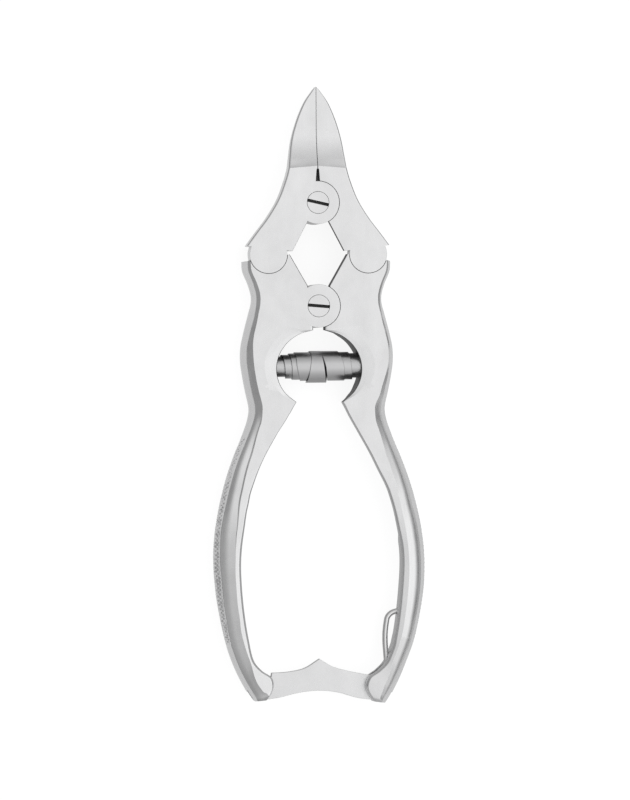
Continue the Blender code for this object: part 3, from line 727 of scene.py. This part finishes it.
def stepped_cut(centre, side, steps):
    """Cutter of revolution. steps holds (radius, Z where it ends) from the back to the front.

    It starts far behind the tool, with rings of points a little behind the back face and in it.
    """
    first = steps[0][0]
    profile = [(0.0, -FAR), (first, -FAR), (first, -CUTTER_RING)]
    low = 0.0
    for radius, high in steps:
        profile += [(radius, low), (radius, high)]
        low = high
    profile.append((0.0, low))
    return turned(profile, "cutter", (centre[0] * side, centre[1]), phase=CUTTER_PHASE)


def hub_cutter(pivot, side, in_front, disc_radius):
    """Room for the other half of a lap joint and for its screw."""
    room = disc_radius + LAP_CLEARANCE
    shank = SCREW_SHANK_R + SCREW_CLEARANCE
    if in_front:
        seat = THICKNESS - SCREW_HEAD_DEPTH - SCREW_CLEARANCE
        steps = [(room, MID + LAP_GAP), (shank, seat), (SCREW_HEAD_R + SCREW_CLEARANCE, FAR)]
    else:
        steps = [(shank, MID - LAP_GAP), (room, FAR)]
    return stepped_cut(pivot, side, steps)


FORK_X, FORK_HALF = 16.6, 1.1
FORK_INNER_X, FORK_LOW_Y = 2.0, -90.0
FORK_TOP_Y = {-1: -60.3, 1: -59.3}
SPRING_SEAT_R = 2.75
SPRING_SEAT_X = (8.0, 10.4)
WIRE_HOLE = ((16.6, -49.4), (19.9, -48.52))
WIRE_HOLE_R = 0.75


def make_handle(name, body, side):
    in_front = side < 0
    mesh = handle_body(side)
    layer = (MID + LAP_GAP, THICKNESS - SKIN) if in_front else (SKIN, MID - LAP_GAP)
    discs = [
        disc(HANDLE_PIVOT, HANDLE_DISC_R, *layer, side),
        disc(LINK, HEAD_DISC_R, SKIN, MID - LAP_GAP, side),
    ]
    mesh = combine(mesh, "UNION", discs)
    head_steps = [(LINK_PIN_R + PIN_CLEARANCE, MID - LAP_GAP), (TAIL_DISC_R + LAP_CLEARANCE, FAR)]
    seat = [(side * x, SPRING_Y, MID) for x in SPRING_SEAT_X]
    cutters = [
        hub_cutter(HANDLE_PIVOT, side, in_front, HANDLE_DISC_R),
        stepped_cut(LINK, side, head_steps),
        rod(*seat, SPRING_SEAT_R),
    ]
    # The cut walls of the pockets and of the spring seat take the painted shade.
    mesh = combine(mesh, "DIFFERENCE", cutters, shaded=True)
    fork_low = (side * FORK_INNER_X, FORK_LOW_Y, MID - FORK_HALF)
    fork_high = (side * FORK_X, FORK_TOP_Y[side], MID + FORK_HALF)
    mesh = combine(mesh, "DIFFERENCE", [block(fork_low, fork_high)])
    lock_pin = CATCH_PIN if side < 0 else LOCK_HINGE
    hole = LOCK_PIN_R + PIN_CLEARANCE
    cutters = [stepped_cut(lock_pin, 1, [(hole, LOCK_PIN_TOP + PIN_CLEARANCE)])]
    if side > 0:
        cutters.append(rod(*[(*end, MID) for end in WIRE_HOLE], WIRE_HOLE_R))
    # The holes for the pins and the wire take the painted shade.
    mesh = combine(mesh, "DIFFERENCE", cutters, shaded=True)
    return piece(name, mesh, (HANDLE_STEEL, SHADED_INNER_STEEL), body)


# Jaws.

SEAM = 0.05
TRANSITION_Y = 52.0
JAW_STATIONS = [  # (outer point, inner point) of sections from the tip to the shoulder
    ((0.25, 69.86), (SEAM, 69.97)),
    ((0.7, 69.35), (SEAM, 69.6)),
    ((1.45, 68.35), (SEAM, 68.8)),
    ((2.72, 66.45), (SEAM, 66.9)),
    ((4.45, 62.45), (SEAM, 62.8)),
    ((5.72, 58.0), (SEAM, 58.2)),
    ((6.38, 53.6), (SEAM, 53.75)),
    ((6.66, 51.5), (SEAM, TRANSITION_Y)),
    ((6.79, 50.95), (SEAM, 51.45)),
    ((6.87, 50.6), (0.24, 51.2)),
    ((7.4, 48.8), (0.44, 48.6)),
    ((9.1, 44.4), (1.2, 44.0)),
    ((11.6, 40.25), (2.43, 39.4)),
    ((14.1, 36.95), (4.2, 36.02)),
    ((16.3, 34.0), (5.9, 32.75)),
]
JAW_INNER_CORNERS = [7, 8, 9, 10, 12]
JAW_SAMPLES = [4, 10, 2, 24, 2, 4, 4, 8, 8, 2]
JAW_BENDS = 3
JAW_WALL_FROM, JAW_WALL_TO = 5, 7
SCOOP_SLOPE = 0.5
SCOOP_LENGTH = 8.5
JAW_EDGE, JAW_EDGE_DROP = 0.3, 0.2
ARM_FROM = 8  # number of the first station on the arm
ARM_TOP_Y = 41.0
ARM_UNDERCUT = 0.95
ARM_KNEE_Z = 6.3
JAW_WAIST_Z = 4.3
BLADE_EDGE_Z = 5.15
BLADE_GROOVE_SLOPE = 0.46
BACK_CUT = 0.55
SECTION_FADE = 1.5  # over which the blade's section turns into the arm's
BLADE_SPACING, ARM_SPACING = 0.2, 0.4
BLADE_FROM_Y = 50.0
BLADE_BACK = ((0.0, 50.5, 55.0, 62.0, 70.5), (0.0, 0.0, 0.5, 2.0, 4.2))


def blade_front(y):
    """Z of the hollow-ground front face."""
    reach = min(max(y - TRANSITION_Y, 0.0), SCOOP_LENGTH)
    return THICKNESS - SCOOP_SLOPE * reach + SCOOP_SLOPE * reach**2 / (2 * SCOOP_LENGTH)


def jaw_section(y, width):
    """Closed (inset from the outer edge, Z) outline of the jaw, with the bevel behind its cutting edge."""
    front = blade_front(y)
    back = float(np.interp(y, *BLADE_BACK))
    edge, inner = min(JAW_EDGE, width * 0.3), min(0.06, width * 0.1)
    apex = min(BLADE_EDGE_Z, front - 0.5)
    share = max(0.0, min(1.0, (y - TRANSITION_Y + 1.0) / SECTION_FADE))
    groove_width = min(BLADE_GROOVE_SLOPE * (apex - back), width * 0.6) * share + 0.1 * (1 - share)
    land = back + 0.1 + (apex - back - 0.1) * share
    waist = min(JAW_WAIST_Z, (front + back) / 2 + 0.4)
    outer_cut = min(BACK_CUT, width * 0.25)
    on_arm = (1 - share) * min(1.0, max(0.0, (ARM_TOP_Y - y) / SECTION_FADE))
    inner_cut = ARM_UNDERCUT * on_arm
    knee = max(waist, land + 0.2) * (1 - on_arm) + ARM_KNEE_Z * on_arm
    corners = [
        (outer_cut, back, 0.15), (0.0, waist, 0.5), (0.0, front - JAW_EDGE_DROP, 0.05), (edge, front, 0.12),
        (width - inner, front, 0.03), (width, front - inner, 0.03), (width, knee, 0.2),
        (width - inner_cut, land, 0.05), (width - max(groove_width, inner_cut + 0.1), back, 0.1),
        (outer_cut + 0.1 * min(1.0, width), back, 0.02),
    ]
    return rounded(corners, JAW_SAMPLES, JAW_BENDS)


def jaw_body(side):
    counts = spans(JAW_STATIONS, lambda y: BLADE_SPACING if y > BLADE_FROM_Y else ARM_SPACING)
    outers = rail([outer for outer, _ in JAW_STATIONS], [], counts)
    inners = rail([inner for _, inner in JAW_STATIONS], JAW_INNER_CORNERS, counts)
    rings = []
    for outer, inner in zip(outers, inners):
        across = inner - outer
        width = across.length
        across = across / width
        section = jaw_section(inner.y, width)
        places = [(outer + across * u, z) for u, z in section]
        rings.append([(place.x, place.y, z) for place, z in places])
    # The arm's inner wall takes the painted shade of the inner walls.
    first, last = (sum(JAW_SAMPLES[:k]) + (JAW_BENDS + 1) * k for k in (JAW_WALL_FROM, JAW_WALL_TO))
    arm = range(sum(counts[:ARM_FROM]), len(rings))
    return loft(rings, "jaw_body", side, (arm, range(first + 1, last + JAW_BENDS + 1)))


def make_jaw(name, body, side):
    in_front = side < 0
    mesh = jaw_body(side)
    layer = (MID + LAP_GAP, THICKNESS - SKIN) if in_front else (SKIN, MID - LAP_GAP)
    discs = [
        disc(JAW_PIVOT, JAW_DISC_R, *layer, side),
        disc(LINK, TAIL_DISC_R, MID + LAP_GAP, THICKNESS - SKIN, side),
    ]
    mesh = combine(mesh, "UNION", discs)
    pin_step = (LINK_PIN_R + PIN_CLEARANCE, LINK_PIN_TOP + PIN_CLEARANCE)
    tail_steps = [(TAIL_SHOULDER_R, MID + LAP_GAP), pin_step]
    cutters = [hub_cutter(JAW_PIVOT, side, in_front, JAW_DISC_R), stepped_cut(LINK, side, tail_steps)]
    # The cut walls of the pockets take the painted shade.
    mesh = combine(mesh, "DIFFERENCE", cutters, shaded=True)
    return piece(name, mesh, (JAW_STEEL, SHADED_INNER_STEEL), body)


# Screws and pins.

FASTENER_FOOT = 0.3  # Z of the lower ends
FASTENER_SOFT = 0.1  # width of the soft rims
SCREW_FOOT_CHAMFER = 0.2
SCREW_SUNK = 0.02
SCREW_CROWN = [(2.3, 0.002), (1.8, 0.004), (0.9, 0.006), (0.0, 0.006)]  # (radius, rise) on the head
JAW_SLOT_TURN, HANDLE_SLOT_TURN = radians(-12.9), radians(-4.9)
PIN_STEPS = 72


def make_screw(name, body, pivot, turn):
    top = THICKNESS - SCREW_SUNK
    foot = THICKNESS - SCREW_HEAD_DEPTH
    part = SOFT_SHARE * FASTENER_SOFT
    profile = [
        (0.0, FASTENER_FOOT), (SCREW_SHANK_R - SCREW_FOOT_CHAMFER, FASTENER_FOOT),
        (SCREW_SHANK_R, FASTENER_FOOT + SCREW_FOOT_CHAMFER), (SCREW_SHANK_R, foot), (SCREW_HEAD_R, foot),
        (SCREW_HEAD_R, top - FASTENER_SOFT), (SCREW_HEAD_R - part, top - part),
        (SCREW_HEAD_R - FASTENER_SOFT, top), *[(radius, top + rise) for radius, rise in SCREW_CROWN],
    ]
    mesh = turned(profile, name, pivot)
    x, y = pivot
    half = SCREW_SLOT_WIDTH / 2
    slot = block((x - FAR, y - half, THICKNESS - SCREW_SLOT_DEPTH), (x + FAR, y + half, FAR), turn)
    mesh = combine(mesh, "DIFFERENCE", [slot])
    return piece(name, mesh, (SCREW_STEEL,), body)


def make_pin(name, body, centre, radius, top):
    foot, soft = FASTENER_FOOT, FASTENER_SOFT
    part = SOFT_SHARE * soft
    profile = [
        (0.0, foot), (radius - soft, foot), (radius - part, foot + part), (radius, foot + soft),
        (radius, top - soft), (radius - soft, top), (0.0, top),
    ]
    mesh = turned(profile, name, centre, PIN_STEPS)
    return piece(name, mesh, (PIN_STEEL,), body)


# Spring.

SPRING_STRIP = 0.2
SPRING_EDGE = 0.06
SPRING_STEPS = 72
SPRING_WINDING = [  # (turns from the left end, (left edge, width, outer radius, sag)) of the strip
    (-0.35, (-10.0, 2.0, 2.15, 0.0)),
    (0.25, (-9.9, 2.7, 2.3, 0.0)),
    (1.25, (-7.7, 2.6, 2.72, 0.0)),
    (2.25, (-6.1, 2.6, 3.0, 0.0)),
    (3.25, (-5.0, 3.7, 3.25, 0.0)),
    (4.0, (-1.7, 2.3, 3.46, 0.0)),
    (4.15, (-1.6, 2.5, 3.5, 0.1)),
    (4.5, (-2.67, 4.75, 3.52, 0.24)),
    (4.75, (-1.2, 4.4, 3.5, 0.0)),
    (5.25, (1.6, 4.2, 3.37, 0.0)),
    (6.25, (4.6, 2.9, 3.15, 0.0)),
    (7.25, (6.7, 3.0, 2.82, 0.0)),
    (7.8, (7.7, 2.3, 2.5, 0.0)),
]


def make_spring():
    """Barrel spring: one flat strip wound up to its widest turn and down again."""
    edge = SPRING_EDGE
    section = [  # (left end 0 or right end 1, how far beside it, depth under the outer face)
        (0, 0.0, edge), (0, 0.0, SPRING_STRIP - edge), (0, edge, SPRING_STRIP), (1, -edge, SPRING_STRIP),
        (1, 0.0, SPRING_STRIP - edge), (1, 0.0, edge), (1, -edge, 0.0), (0, edge, 0.0),
    ]
    first, last = SPRING_WINDING[0][0], SPRING_WINDING[-1][0]
    places, values = zip(*SPRING_WINDING)
    rings = []
    steps = ceil((last - first) * SPRING_STEPS)
    for step in range(steps + 1):
        turn = first + (last - first) * step / steps
        left, width, radius, sag = (float(np.interp(turn, places, column)) for column in zip(*values))
        angle = 2 * pi * turn
        ring = []
        for end, beside, depth in section:
            along = left + (width * end + beside)
            r = radius - depth
            ring.append((along, SPRING_Y - sag + r * cos(angle), MID + r * sin(angle)))
        rings.append(ring)
    mesh = loft(rings, "barrel_spring")
    spring = piece("barrel_spring", mesh, (SPRING_STEEL,))
    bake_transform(spring)
    return spring


# Lock bar and its wire.

LOCK_BAR_SHOULDER = [(-12.9, -64.6), (-11.2, -63.9)]
LOCK_BAR_TOP = [(-10.95, -62.75), (-9.0, -62.7), (-6.65, -62.5), (-3.5, -61.8), (0.0, -59.7)]
LOCK_BAR_TOP_RIGHT = [(0.0, -59.7), (2.6, -61.3), (5.8, -62.35), (11.8, -63.6)]
LOCK_BAR_UNDER = [
    (12.3, -69.2), (8.4, -68.6), (4.2, -67.4), (0.0, -66.9), (-4.6, -67.3), (-9.5, -68.4), (-13.2, -68.9),
]
LOCK_BAR_HOOK = [(-14.5, -68.5), (-15.3, -67.9), (-15.75, -67.1), (-15.45, -66.6), (-15.1, -67.1)]
LOCK_BAR_NOTCH = [(-14.7, -68.0), (-13.5, -68.0), (-12.9, -67.2)]
LOCK_HEEL_R = 2.55
LOCK_HEEL_TURNS = range(100, -116, -5)
LOCK_BAR_MIDDLE = (0.0, -65.0)
LOCK_BAR_HALF = 0.9
LOCK_BAR_SOFT = 0.1


def make_lock_bar():
    heel = [Vector(on_arc(LOCK_HINGE, LOCK_HEEL_R, angle)) for angle in LOCK_HEEL_TURNS]
    outline = through(LOCK_BAR_SHOULDER, 2) + through(LOCK_BAR_TOP, 8)[:-1]
    outline += through(LOCK_BAR_TOP_RIGHT, 8) + heel
    for edge in (LOCK_BAR_UNDER, LOCK_BAR_HOOK, LOCK_BAR_NOTCH):
        outline += through(edge, 6)
    count = len(outline)
    normals = []
    for k in range(count):
        run = (outline[(k + 1) % count] - outline[k - 1]).normalized()
        normals.append(Vector((run.y, -run.x)))
    middle = Vector(LOCK_BAR_MIDDLE)
    if sum((outline[k] - middle).dot(normals[k]) for k in range(count)) < 0:
        normals = [-normal for normal in normals]
    half, soft = LOCK_BAR_HALF, LOCK_BAR_SOFT
    part = SOFT_SHARE * soft
    rim = [(0.0, half - soft), (part, half - part), (soft, half)]
    rings = []
    for inset, z in [*[(inset, -z) for inset, z in reversed(rim)], *rim]:
        points = [point - normal * inset for point, normal in zip(outline, normals)]
        rings.append([(point.x, point.y, MID + z) for point in points])
    mesh = loft(rings, "lock_bar")
    hole = rod((*LOCK_HINGE, -FAR), (*LOCK_HINGE, FAR), LOCK_PIN_R + PIN_CLEARANCE)
    mesh = combine(mesh, "DIFFERENCE", [hole])
    return piece("lock_bar", mesh, (LOCK_STEEL,), "lock_bar")


WIRE_ROUTE = [
    (19.6, -48.6), (18.1, -49.0), (16.6, -49.5), (15.75, -50.4), (15.4, -51.9), (15.15, -54.2),
    (15.15, -56.4), (15.3, -58.6), (15.4, -60.8), (15.0, -62.9),
]
WIRE_R = 0.62
WIRE_ENDS = (0.8, 0.97)  # shares of the radius at the last rings
WIRE_STEPS = 32


def make_wire():
    route = through(WIRE_ROUTE, 14)
    rings = []
    for k, point in enumerate(route):
        run = (route[min(k + 1, len(route) - 1)] - route[max(k - 1, 0)]).normalized()
        across = Vector((run.y, -run.x))
        from_end = min(k, len(route) - 1 - k)
        radius = WIRE_R * WIRE_ENDS[from_end] if from_end < len(WIRE_ENDS) else WIRE_R
        turns = [2 * pi * step / WIRE_STEPS for step in range(WIRE_STEPS)]
        places = [(point + across * radius * cos(a), MID + radius * sin(a)) for a in turns]
        rings.append([(place.x, place.y, z) for place, z in places])
    mesh = loft(rings, "lock_spring_wire")
    return piece("lock_spring_wire", mesh, (WIRE_STEEL,), "right_handle")


# Studio.

TOOL_OUTLINE = [  # (Y, half width of the tool), millimetres
    (-75.0, 12.0), (-68.0, 16.5), (-60.0, 20.5), (-50.0, 23.0), (-38.0, 24.0), (-24.0, 22.5),
    (-14.0, 19.0), (-4.0, 15.5), (9.0, 17.3), (20.0, 15.0), (30.0, 16.8), (36.0, 14.5), (44.0, 9.2),
    (52.0, 6.7), (70.0, 0.5),
]
OUTLINE_SPAN = 150.0
OUTLINE_SCALE = 30.0
FLOOR_INSIDE, FLOOR_OUTSIDE = 0.44, 0.7  # glow that the steel sees inside the tool's outline, a painted shade under the tool, and outside it
FLOOR_FADE = 0.004  # metres inside the outline over which the one turns into the other
FLOOR_SIZE, FLOOR_DROP = 3.0, 0.0002
FLOOR_GLOW, FLOOR_GREY, FLOOR_ROUGHNESS = 0.88, 0.22, 0.9


def stage_output(nodes, seen, hidden):
    """Shows one shader to the camera and another to the light that falls on the tool."""
    mix = nodes.add("ShaderNodeMixShader")
    nodes.tree.links.new(nodes.add("ShaderNodeLightPath").outputs["Is Camera Ray"], mix.inputs["Fac"])
    nodes.tree.links.new(hidden, mix.inputs[1])
    nodes.tree.links.new(seen, mix.inputs[2])
    return mix.outputs["Shader"]


def make_floor():
    """Pale floor, evenly lit to the camera. To the steel it is a glow, a painted light from below, dimmer
    inside the tool's outline than outside as a painted shade under the tool.
    """
    solid = bmesh.new()
    bmesh.ops.create_grid(solid, x_segments=1, y_segments=1, size=FLOOR_SIZE)
    floor = bpy.data.objects.new("floor", mesh_of(solid, "floor"))
    bpy.context.scene.collection.objects.link(floor)
    floor.location.z = -FLOOR_DROP
    nodes = Nodes("floor_white")
    nodes.shader.inputs["Roughness"].default_value = FLOOR_ROUGHNESS
    nodes.shader.inputs["Base Color"].default_value = (*[FLOOR_GREY] * 3, 1.0)
    glow = nodes.add("ShaderNodeEmission", Color=(1.0, 1.0, 1.0, 1.0), Strength=FLOOR_GLOW)
    both = nodes.add("ShaderNodeAddShader")
    nodes.tree.links.new(nodes.shader.outputs["BSDF"], both.inputs[0])
    nodes.tree.links.new(glow.outputs["Emission"], both.inputs[1])
    coords = nodes.add("ShaderNodeTexCoord")
    split = nodes.add("ShaderNodeSeparateXYZ", Vector=coords.outputs["Object"])
    half = OUTLINE_SPAN * MM / 2
    outline = nodes.add("ShaderNodeValToRGB", Fac=nodes.remap(split.outputs["Y"], -half, half, 0.0, 1.0))
    ramp = outline.color_ramp.elements
    while len(ramp) < len(TOOL_OUTLINE):
        ramp.new(0.5)
    for stop, (y, width) in zip(ramp, TOOL_OUTLINE):
        stop.position = y / OUTLINE_SPAN + 0.5
        stop.color = (*[width / OUTLINE_SCALE] * 3, 1.0)
    aside = nodes.add("ShaderNodeMath", {"operation": "ABSOLUTE"})
    nodes.tree.links.new(split.outputs["X"], aside.inputs[0])
    beyond = nodes.add("ShaderNodeMath", {"operation": "MULTIPLY_ADD"})
    nodes.tree.links.new(outline.outputs["Color"], beyond.inputs[0])
    beyond.inputs[1].default_value = -OUTLINE_SCALE * MM
    nodes.tree.links.new(aside.outputs["Value"], beyond.inputs[2])
    # Painted shade: the glow that the steel sees drops under the tool's outline.
    level = nodes.remap(beyond.outputs["Value"], -FLOOR_FADE, 0.0, FLOOR_INSIDE, FLOOR_OUTSIDE)
    dim = nodes.add("ShaderNodeEmission", Strength=level)
    surface = stage_output(nodes, both.outputs["Shader"], dim.outputs["Emission"])
    nodes.tree.links.new(surface, nodes.tree.nodes["Material Output"].inputs["Surface"])
    floor.data.materials.append(nodes.material)


# Brightness of the studio by how far a direction leans to the right (-1 to 1) and by how far to the
# tips or grips (0 to 1).
SIDE_LIGHT = [
    (-1.0, 0.34), (-0.9, 0.36), (-0.78, 0.46), (-0.65, 0.56), (-0.4, 0.84), (-0.2, 1.0), (0.0, 1.05),
    (0.2, 1.2), (0.4, 1.48), (0.57, 1.38), (0.7, 1.0), (0.83, 0.62), (0.93, 0.34), (1.0, 0.3),
]
LENGTHWAYS_LIGHT = [(0.0, 1.0), (0.2, 1.1), (0.42, 0.97), (0.7, 0.74), (0.85, 0.62), (1.0, 0.54)]
LIGHT_SCALE = 1.6  # brightness that the ramps hold as 1
BACKDROP = 0.92


class WorldNodes(Nodes):
    def __init__(self, world):
        world.use_nodes = True
        self.tree = world.node_tree


def light_ramp(nodes, value, low, stops):
    ramp = nodes.add("ShaderNodeValToRGB", Fac=nodes.remap(value, low, 1.0, 0.0, 1.0))
    elements = ramp.color_ramp.elements
    while len(elements) < len(stops):
        elements.new(0.5)
    for element, (place, level) in zip(elements, stops):
        element.position = (place - low) / (1.0 - low)
        element.color = (*[level / LIGHT_SCALE] * 3, 1.0)
    return ramp.outputs["Color"]


def make_light():
    """Large soft sources all round the tool, strongest high on the right, over an even pale backdrop."""
    world = bpy.data.worlds.new("studio")
    bpy.context.scene.world = world
    nodes = WorldNodes(world)
    coords = nodes.add("ShaderNodeTexCoord")
    split = nodes.add("ShaderNodeSeparateXYZ", Vector=coords.outputs["Generated"])
    lengthways = nodes.add("ShaderNodeMath", {"operation": "ABSOLUTE"})
    nodes.tree.links.new(split.outputs["Y"], lengthways.inputs[0])
    sideways = light_ramp(nodes, split.outputs["X"], -1.0, SIDE_LIGHT)
    along = light_ramp(nodes, lengthways.outputs["Value"], 0.0, LENGTHWAYS_LIGHT)
    product = nodes.add("ShaderNodeMath", {"operation": "MULTIPLY"})
    nodes.tree.links.new(sideways, product.inputs[0])
    nodes.tree.links.new(along, product.inputs[1])
    level = nodes.add("ShaderNodeMath", {"operation": "MULTIPLY"})
    nodes.tree.links.new(product.outputs["Value"], level.inputs[0])
    level.inputs[1].default_value = LIGHT_SCALE**2
    lit = nodes.add("ShaderNodeBackground", Strength=level.outputs["Value"])
    plain = nodes.add("ShaderNodeBackground", Color=(1.0, 1.0, 1.0, 1.0), Strength=BACKDROP)
    surface = stage_output(nodes, plain.outputs["Background"], lit.outputs["Background"])
    nodes.tree.links.new(surface, nodes.tree.nodes["World Output"].inputs["Surface"])
    bpy.context.scene.view_settings.view_transform = "Standard"


CAMERA_SWING = radians(8.0)
CAMERA_ROLL = radians(0.45)
CAMERA_DISTANCE = 1.6
SENSOR = 36.0
VIEW_HEIGHT = 0.1815  # metres up the picture at the tool
CAMERA_TARGET = Vector((-0.5, -1.0, MID)) * MM


def make_camera():
    camera = bpy.data.cameras.new("camera")
    camera.sensor_width = SENSOR
    camera.lens = SENSOR * CAMERA_DISTANCE / VIEW_HEIGHT
    obj = bpy.data.objects.new("camera", camera)
    bpy.context.scene.collection.objects.link(obj)
    back = Vector((-sin(CAMERA_SWING), 0.0, cos(CAMERA_SWING)))
    obj.location = CAMERA_TARGET + back * CAMERA_DISTANCE
    turn = Matrix.Rotation(-CAMERA_SWING, 3, "Y") @ Matrix.Rotation(-CAMERA_ROLL, 3, "Z")
    obj.rotation_euler = turn.to_euler()
    camera.clip_end = 10.0
    bpy.context.scene.camera = obj


make_handle("left_handle", "left_handle", -1)
make_handle("right_handle", "right_handle", 1)
make_jaw("left_jaw", "left_jaw", -1)
make_jaw("right_jaw", "right_jaw", 1)
make_screw("jaw_screw", "right_jaw", JAW_PIVOT, JAW_SLOT_TURN)
make_screw("handle_screw", "right_handle", HANDLE_PIVOT, HANDLE_SLOT_TURN)
make_pin("left_link_pin", "left_handle", (-LINK[0], LINK[1]), LINK_PIN_R, LINK_PIN_TOP)
make_pin("right_link_pin", "right_handle", LINK, LINK_PIN_R, LINK_PIN_TOP)
make_pin("lock_catch_pin", "left_handle", CATCH_PIN, LOCK_PIN_R, LOCK_PIN_TOP)
make_pin("lock_hinge_pin", "right_handle", LOCK_HINGE, LOCK_PIN_R, LOCK_PIN_TOP)
make_spring()
make_lock_bar()
make_wire()
make_floor()
make_light()
make_camera()
